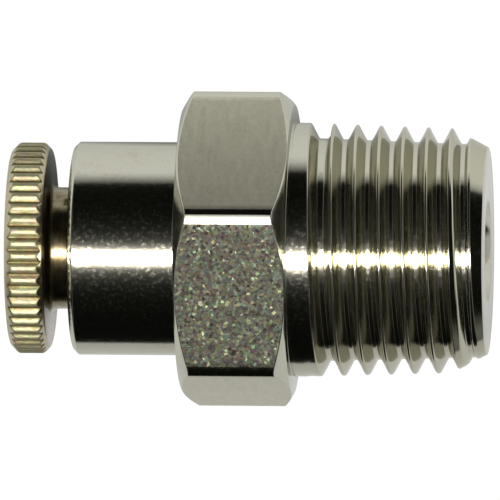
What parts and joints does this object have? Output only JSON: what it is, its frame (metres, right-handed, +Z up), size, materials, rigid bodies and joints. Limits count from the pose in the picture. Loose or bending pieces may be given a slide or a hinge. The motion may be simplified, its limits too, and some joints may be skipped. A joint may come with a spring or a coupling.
{
  "type": "push to connect fitting",
  "caption": "Straight push-to-connect tube fitting in nickel-plated brass, with a taper pipe thread, a hexagon for a spanner and a knurled release button that slides in.",
  "frame": {"origin": "under the middle of the object's box, on the surface it rests on; the thread and tube axis is 5.555 mm above it", "axes": "+X along the axis towards the threaded end, the tube goes in towards +X; +Z up, square to the hexagon's top flat; +Y completes the right-hand frame"},
  "size_m": [0.0182, 0.0126, 0.0111],
  "materials": {
    "nickel_plate": "bright nickel plate over turned brass, warm grey mirror on turned faces, rougher drawn surface on the hexagon's flats",
    "tinted_plate": "thin nickel plate with the brass showing through, straight knurled rim",
    "bush_plate": "nickel plate, turned",
    "spring_steel": "stamped stainless spring steel, fine rolled grain",
    "turned_brass": "bare turned brass with fine tool rings",
    "acetal": "machined white acetal",
    "nitrile": "moulded black nitrile rubber with a thin film of grease"
  },
  "bodies": {
    "fitting_body": {"body": "nickel_plate", "mouth_bush": "bush_plate", "grab_ring_rim": "spring_steel", "spacer_ring": "turned_brass", "backup_washer": "acetal", "o_ring": "nitrile"},
    "release_button": {"release_button": "tinted_plate"},
    "grab_tooth_1": {"grab_tooth_1": "spring_steel"},
    "grab_tooth_2": {"grab_tooth_2": "spring_steel"},
    "grab_tooth_3": {"grab_tooth_3": "spring_steel"},
    "grab_tooth_4": {"grab_tooth_4": "spring_steel"},
    "grab_tooth_5": {"grab_tooth_5": "spring_steel"},
    "grab_tooth_6": {"grab_tooth_6": "spring_steel"},
    "grab_tooth_7": {"grab_tooth_7": "spring_steel"},
    "grab_tooth_8": {"grab_tooth_8": "spring_steel"}
  },
  "joints": [
    {"name": "release_slide", "type": "slide", "parent": "fitting_body", "child": "release_button", "axis": [1, 0, 0], "range_m": [0, 0.00074], "stiffness_N_per_m": 200, "springref_m": -0.0005},
    {"name": "grab_tooth_1_flex", "type": "hinge", "parent": "fitting_body", "child": "grab_tooth_1", "pos_m": [-0.00387, 0.00274, 0.00556], "axis": [0, 0, 1], "range_deg": [0, 24]},
    {"name": "grab_tooth_2_flex", "type": "hinge", "parent": "fitting_body", "child": "grab_tooth_2", "pos_m": [-0.00387, 0.00194, 0.00749], "axis": [0, -0.7071, 0.7071], "range_deg": [0, 24]},
    {"name": "grab_tooth_3_flex", "type": "hinge", "parent": "fitting_body", "child": "grab_tooth_3", "pos_m": [-0.00387, 0, 0.00829], "axis": [0, -1, 0], "range_deg": [0, 24]},
    {"name": "grab_tooth_4_flex", "type": "hinge", "parent": "fitting_body", "child": "grab_tooth_4", "pos_m": [-0.00387, -0.00194, 0.00749], "axis": [0, -0.7071, -0.7071], "range_deg": [0, 24]},
    {"name": "grab_tooth_5_flex", "type": "hinge", "parent": "fitting_body", "child": "grab_tooth_5", "pos_m": [-0.00387, -0.00274, 0.00556], "axis": [0, 0, -1], "range_deg": [0, 24]},
    {"name": "grab_tooth_6_flex", "type": "hinge", "parent": "fitting_body", "child": "grab_tooth_6", "pos_m": [-0.00387, -0.00194, 0.00362], "axis": [0, 0.7071, -0.7071], "range_deg": [0, 24]},
    {"name": "grab_tooth_7_flex", "type": "hinge", "parent": "fitting_body", "child": "grab_tooth_7", "pos_m": [-0.00387, 0, 0.00282], "axis": [0, 1, 0], "range_deg": [0, 24]},
    {"name": "grab_tooth_8_flex", "type": "hinge", "parent": "fitting_body", "child": "grab_tooth_8", "pos_m": [-0.00387, 0.00194, 0.00362], "axis": [0, 0.7071, 0.7071], "range_deg": [0, 24]}
  ],
  "couplings": [
    {"joint": "grab_tooth_1_flex", "follows": "release_slide", "rad_per_m": 520},
    {"joint": "grab_tooth_2_flex", "follows": "release_slide", "rad_per_m": 520},
    {"joint": "grab_tooth_3_flex", "follows": "release_slide", "rad_per_m": 520},
    {"joint": "grab_tooth_4_flex", "follows": "release_slide", "rad_per_m": 520},
    {"joint": "grab_tooth_5_flex", "follows": "release_slide", "rad_per_m": 520},
    {"joint": "grab_tooth_6_flex", "follows": "release_slide", "rad_per_m": 520},
    {"joint": "grab_tooth_7_flex", "follows": "release_slide", "rad_per_m": 520},
    {"joint": "grab_tooth_8_flex", "follows": "release_slide", "rad_per_m": 520}
  ]
}
